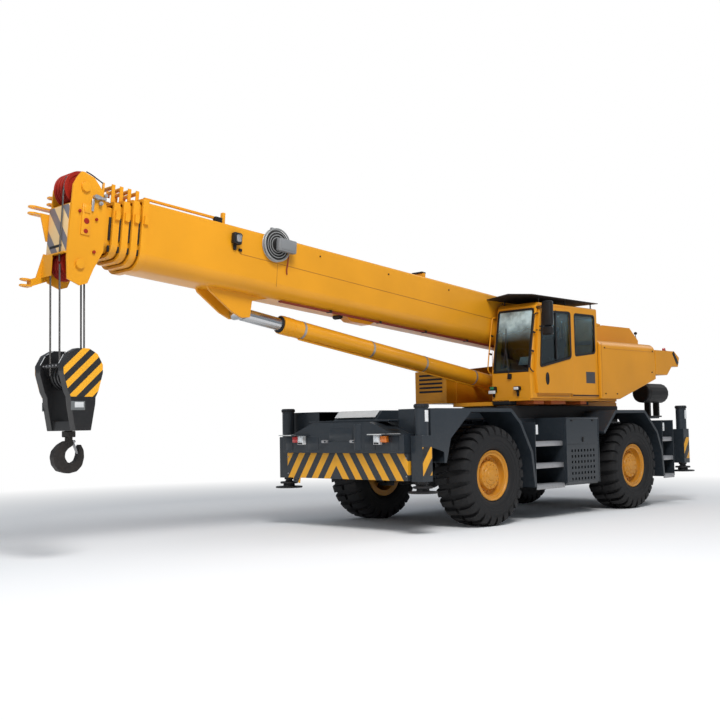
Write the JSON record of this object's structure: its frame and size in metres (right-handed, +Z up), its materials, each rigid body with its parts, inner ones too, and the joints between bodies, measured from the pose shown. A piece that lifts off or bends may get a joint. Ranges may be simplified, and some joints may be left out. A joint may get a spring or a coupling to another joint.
{
  "type": "mobile crane",
  "caption": "Two-axle rough-terrain mobile crane with a telescopic boom, side cab, outriggers and a hanging hook block.",
  "frame": {"origin": "on the ground, under the middle of the crane's overall length and on its centre line", "axes": "+X forward along the boom, +Y to the cab's side, +Z up"},
  "size_m": [13.9294, 3.458, 4.8989],
  "materials": {
    "black_paint": "satin black paint",
    "black_plastic": "moulded black plastic",
    "cab_glass": "clear tinted glass",
    "carrier_paint": "satin dark blue-grey paint",
    "grey_steel": "bare worn steel",
    "lamp_lens": "ribbed lens",
    "rod_chrome": "polished chrome",
    "seat_vinyl": "black vinyl and plastic",
    "stripe_paint": "yellow and black warning stripes",
    "tyre_rubber": "matt black tread rubber",
    "upper_paint": "satin warm yellow paint"
  },
  "bodies": {
    "chassis": {"chassis_frame": "carrier_paint", "slewing_ring": "carrier_paint", "deck": "carrier_paint", "nose_panel": "carrier_paint", "stripe_plate": "stripe_paint", "fenders": "carrier_paint", "steps": "carrier_paint", "side_boxes": "carrier_paint", "engine_block": "carrier_paint", "silencer": "black_paint", "carrier_lamps": "lamp_lens", "axle_housings": "carrier_paint"},
    "front_left_knuckle": {"front_left_knuckle": "carrier_paint"},
    "front_left_wheel": {"front_left_tyre": "tyre_rubber", "front_left_rim": "upper_paint"},
    "front_right_knuckle": {"front_right_knuckle": "carrier_paint"},
    "front_right_wheel": {"front_right_tyre": "tyre_rubber", "front_right_rim": "upper_paint"},
    "front_tie_rod": {"front_tie_rod": "carrier_paint"},
    "rear_left_knuckle": {"rear_left_knuckle": "carrier_paint"},
    "rear_left_wheel": {"rear_left_tyre": "tyre_rubber", "rear_left_rim": "upper_paint"},
    "rear_right_knuckle": {"rear_right_knuckle": "carrier_paint"},
    "rear_right_wheel": {"rear_right_tyre": "tyre_rubber", "rear_right_rim": "upper_paint"},
    "rear_tie_rod": {"rear_tie_rod": "carrier_paint"},
    "front_left_beam": {"front_left_outrigger_beam": "carrier_paint"},
    "front_left_jack": {"front_left_jack": "carrier_paint"},
    "front_right_beam": {"front_right_outrigger_beam": "carrier_paint"},
    "front_right_jack": {"front_right_jack": "carrier_paint"},
    "rear_left_beam": {"rear_left_outrigger_beam": "carrier_paint"},
    "rear_left_jack": {"rear_left_jack": "carrier_paint"},
    "rear_right_beam": {"rear_right_outrigger_beam": "carrier_paint"},
    "rear_right_jack": {"rear_right_jack": "carrier_paint"},
    "turntable": {"turntable_frame": "upper_paint", "left_housing": "upper_paint", "right_housing": "upper_paint", "counterweight": "upper_paint", "winches": "upper_paint", "cab_shell": "upper_paint", "cab_glass": "cab_glass", "operator_station": "seat_vinyl", "sunshade": "black_paint", "mirrors": "black_plastic"},
    "cab_door": {"cab_door": "upper_paint", "door_glass": "cab_glass"},
    "boom_base": {"boom_base": "upper_paint"},
    "boom_section_2": {"boom_section_2": "upper_paint"},
    "boom_section_3": {"boom_section_3": "upper_paint"},
    "boom_section_4": {"boom_section_4": "upper_paint"},
    "boom_section_5": {"boom_section_5": "upper_paint", "boom_head": "upper_paint", "head_sheaves": "black_paint"},
    "lift_barrel": {"lift_barrel": "upper_paint"},
    "lift_rod": {"lift_rod": "rod_chrome"},
    "hook_block": {"rope_falls": "grey_steel", "hook_block": "black_paint"},
    "hook": {"hook": "black_paint"}
  },
  "joints": [
    {"name": "front_left_steer", "type": "hinge", "parent": "chassis", "child": "front_left_knuckle", "pos_m": [-0.175, 0.96, 0.805], "axis": [0, 0, 1], "range_deg": [-28, 28]},
    {"name": "front_left_roll", "type": "hinge", "parent": "front_left_knuckle", "child": "front_left_wheel", "pos_m": [-0.175, 1.2, 0.805], "axis": [0, 1, 0], "continuous": true},
    {"name": "front_right_steer", "type": "hinge", "parent": "chassis", "child": "front_right_knuckle", "pos_m": [-0.175, -0.96, 0.805], "axis": [0, 0, 1], "range_deg": [-28, 28]},
    {"name": "front_right_roll", "type": "hinge", "parent": "front_right_knuckle", "child": "front_right_wheel", "pos_m": [-0.175, -1.2, 0.805], "axis": [0, 1, 0], "continuous": true},
    {"name": "front_tie_rod_pin", "type": "hinge", "parent": "front_left_knuckle", "child": "front_tie_rod", "pos_m": [-0.475, 0.81, 0.62], "axis": [0, 0, 1], "range_deg": [-28, 28]},
    {"name": "rear_left_steer", "type": "hinge", "parent": "chassis", "child": "rear_left_knuckle", "pos_m": [-4.475, 0.96, 0.805], "axis": [0, 0, 1], "range_deg": [-28, 28]},
    {"name": "rear_left_roll", "type": "hinge", "parent": "rear_left_knuckle", "child": "rear_left_wheel", "pos_m": [-4.475, 1.2, 0.805], "axis": [0, 1, 0], "continuous": true},
    {"name": "rear_right_steer", "type": "hinge", "parent": "chassis", "child": "rear_right_knuckle", "pos_m": [-4.475, -0.96, 0.805], "axis": [0, 0, 1], "range_deg": [-28, 28]},
    {"name": "rear_right_roll", "type": "hinge", "parent": "rear_right_knuckle", "child": "rear_right_wheel", "pos_m": [-4.475, -1.2, 0.805], "axis": [0, 1, 0], "continuous": true},
    {"name": "rear_tie_rod_pin", "type": "hinge", "parent": "rear_left_knuckle", "child": "rear_tie_rod", "pos_m": [-4.175, 0.81, 0.62], "axis": [0, 0, 1], "range_deg": [-28, 28]},
    {"name": "front_left_beam_slide", "type": "slide", "parent": "chassis", "child": "front_left_beam", "axis": [0, 1, 0], "range_m": [0, 1.95]},
    {"name": "front_left_jack_slide", "type": "slide", "parent": "front_left_beam", "child": "front_left_jack", "axis": [0, 0, -1], "range_m": [0, 0.66]},
    {"name": "front_right_beam_slide", "type": "slide", "parent": "chassis", "child": "front_right_beam", "axis": [0, -1, 0], "range_m": [0, 1.95]},
    {"name": "front_right_jack_slide", "type": "slide", "parent": "front_right_beam", "child": "front_right_jack", "axis": [0, 0, -1], "range_m": [0, 0.66]},
    {"name": "rear_left_beam_slide", "type": "slide", "parent": "chassis", "child": "rear_left_beam", "axis": [0, 1, 0], "range_m": [0, 1.95]},
    {"name": "rear_left_jack_slide", "type": "slide", "parent": "rear_left_beam", "child": "rear_left_jack", "axis": [0, 0, -1], "range_m": [0, 0.66]},
    {"name": "rear_right_beam_slide", "type": "slide", "parent": "chassis", "child": "rear_right_beam", "axis": [0, -1, 0], "range_m": [0, 1.95]},
    {"name": "rear_right_jack_slide", "type": "slide", "parent": "rear_right_beam", "child": "rear_right_jack", "axis": [0, 0, -1], "range_m": [0, 0.66]},
    {"name": "slew", "type": "hinge", "parent": "chassis", "child": "turntable", "pos_m": [-2.325, 0, 1.94], "axis": [0, 0, 1], "continuous": true},
    {"name": "cab_door_slide", "type": "slide", "parent": "turntable", "child": "cab_door", "axis": [-1, 0, 0], "range_m": [0, 0.78]},
    {"name": "luff", "type": "hinge", "parent": "turntable", "child": "boom_base", "pos_m": [-4.825, 0, 3.15], "axis": [0, -1, 0], "range_deg": [-5, 73]},
    {"name": "extend_2", "type": "slide", "parent": "boom_base", "child": "boom_section_2", "axis": [0.9962, 0, 0.0872], "range_m": [0, 7.9]},
    {"name": "extend_3", "type": "slide", "parent": "boom_section_2", "child": "boom_section_3", "axis": [0.9962, 0, 0.0872], "range_m": [0, 7.9]},
    {"name": "extend_4", "type": "slide", "parent": "boom_section_3", "child": "boom_section_4", "axis": [0.9962, 0, 0.0872], "range_m": [0, 7.9]},
    {"name": "extend_5", "type": "slide", "parent": "boom_section_4", "child": "boom_section_5", "axis": [0.9962, 0, 0.0872], "range_m": [0, 7.9]},
    {"name": "lift_barrel_pin", "type": "hinge", "parent": "turntable", "child": "lift_barrel", "pos_m": [-2.055, 0, 2.39], "axis": [0, -1, 0], "range_deg": [-6, 88]},
    {"name": "lift_rod_slide", "type": "slide", "parent": "lift_barrel", "child": "lift_rod", "axis": [0.9885, 0, 0.1509], "range_m": [-0.23, 3.4]},
    {"name": "hook_hang", "type": "hinge", "parent": "boom_section_5", "child": "hook_block", "pos_m": [6.47087, 0, 3.69056], "axis": [0, -1, 0], "range_deg": [-73, 5]},
    {"name": "hook_swivel", "type": "hinge", "parent": "hook_block", "child": "hook", "pos_m": [6.47087, 0, 1.625], "axis": [0, 0, 1], "continuous": true}
  ],
  "couplings": [
    {"joint": "front_right_steer", "follows": "front_left_steer", "ratio": 1},
    {"joint": "front_tie_rod_pin", "follows": "front_left_steer", "ratio": -1},
    {"joint": "rear_right_steer", "follows": "rear_left_steer", "ratio": 1},
    {"joint": "rear_tie_rod_pin", "follows": "rear_left_steer", "ratio": -1},
    {"joint": "extend_3", "follows": "extend_2", "ratio": 1},
    {"joint": "extend_4", "follows": "extend_2", "ratio": 1},
    {"joint": "extend_5", "follows": "extend_2", "ratio": 1},
    {"joint": "lift_barrel_pin", "follows": "luff", "ratio": 1.147},
    {"joint": "lift_rod_slide", "follows": "luff", "m_per_rad": 2.4587},
    {"joint": "hook_hang", "follows": "luff", "ratio": -1}
  ]
}
